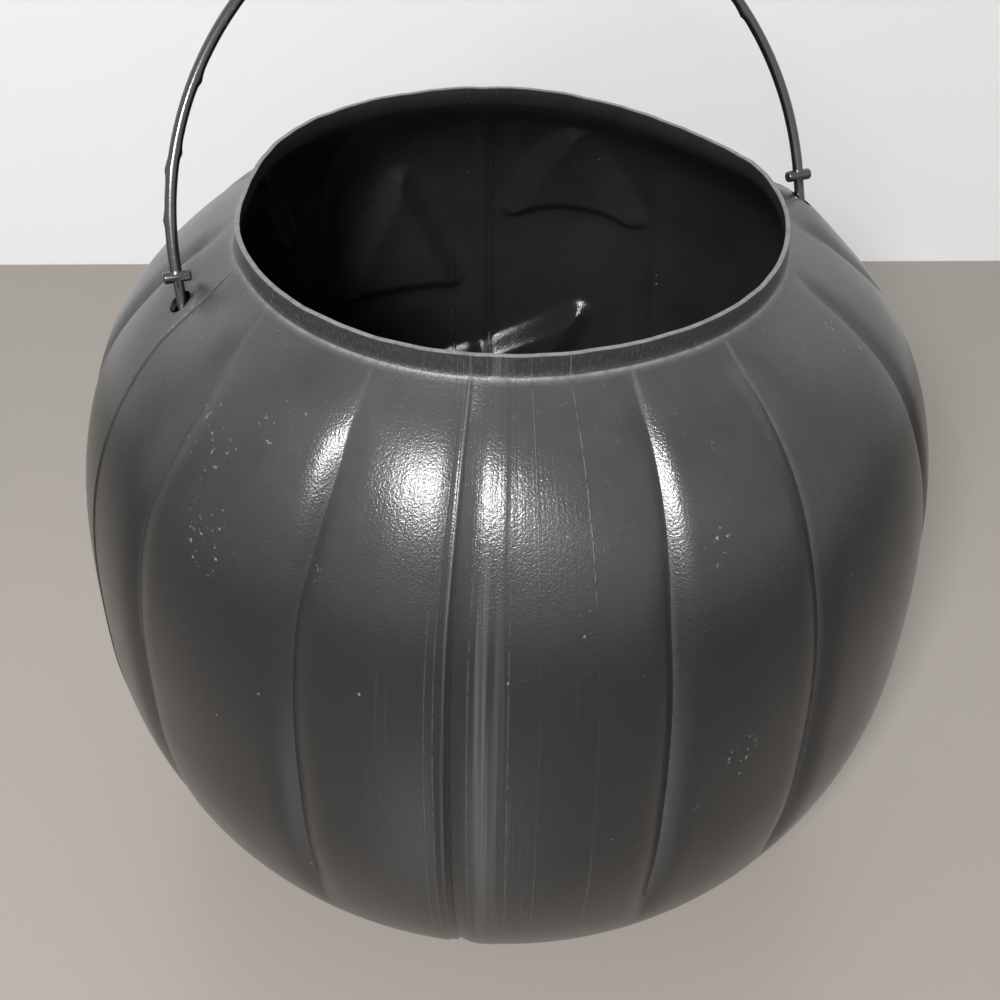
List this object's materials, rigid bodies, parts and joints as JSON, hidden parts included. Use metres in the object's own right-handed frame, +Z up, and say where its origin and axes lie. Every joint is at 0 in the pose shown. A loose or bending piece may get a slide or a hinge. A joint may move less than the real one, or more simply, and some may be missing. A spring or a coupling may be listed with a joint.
{
  "type": "pumpkin candy pail",
  "caption": "Round lobed pail shaped like a pumpkin, with a recessed jack-o'-lantern face, an open collar and a thin bail handle that swings in holes in the shoulder.",
  "frame": {"origin": "on the floor, under the middle of the base", "axes": "+Z up, +Y out through the face, +X along the swing axis of the bail"},
  "size_m": [0.2159, 0.215, 0.2466],
  "materials": {
    "shell_plastic": "semi-gloss black blow-moulded polyethylene with a fine orange-peel grain",
    "bail_plastic": "smooth glossy black moulded polyethylene"
  },
  "bodies": {
    "pail": {"pail_shell": "shell_plastic"},
    "bail": {"bail": "bail_plastic"}
  },
  "joints": [
    {"name": "bail_swing", "type": "hinge", "parent": "pail", "child": "bail", "pos_m": [0, 0, 0.17011], "axis": [1, 0, 0], "range_deg": [-10, 60]}
  ]
}
